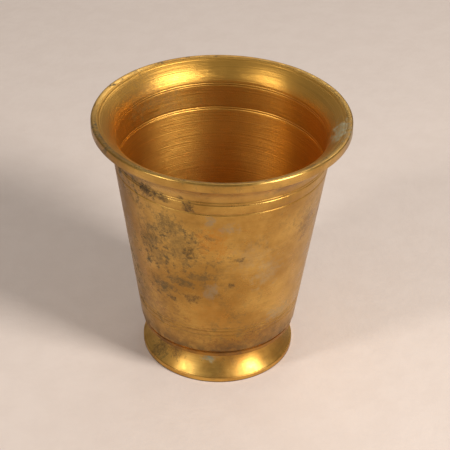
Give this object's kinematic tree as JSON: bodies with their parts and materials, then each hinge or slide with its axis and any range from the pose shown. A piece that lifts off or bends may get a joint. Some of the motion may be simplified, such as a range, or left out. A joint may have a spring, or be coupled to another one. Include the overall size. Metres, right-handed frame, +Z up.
{
  "type": "brass ritual cup",
  "caption": "Turned brass cup with a conical wall flaring to a thick lip, standing on a flared foot ring.",
  "frame": {"origin": "centre of the foot's underside", "axes": "+Z up along the turning axis; X and Y are level and interchangeable"},
  "size_m": [0.1, 0.1, 0.1066],
  "materials": {
    "wall_brass": "turned brass with old brown patina",
    "floor_brass": "dull tarnished brass",
    "foot_brass": "turned brass, worn bright",
    "seam_braze": "grimy braze"
  },
  "bodies": {
    "root": {"cup_wall": "wall_brass", "floor_disc": "floor_brass", "foot_ring": "foot_brass", "braze_seam": "seam_braze"}
  },
  "joints": []
}
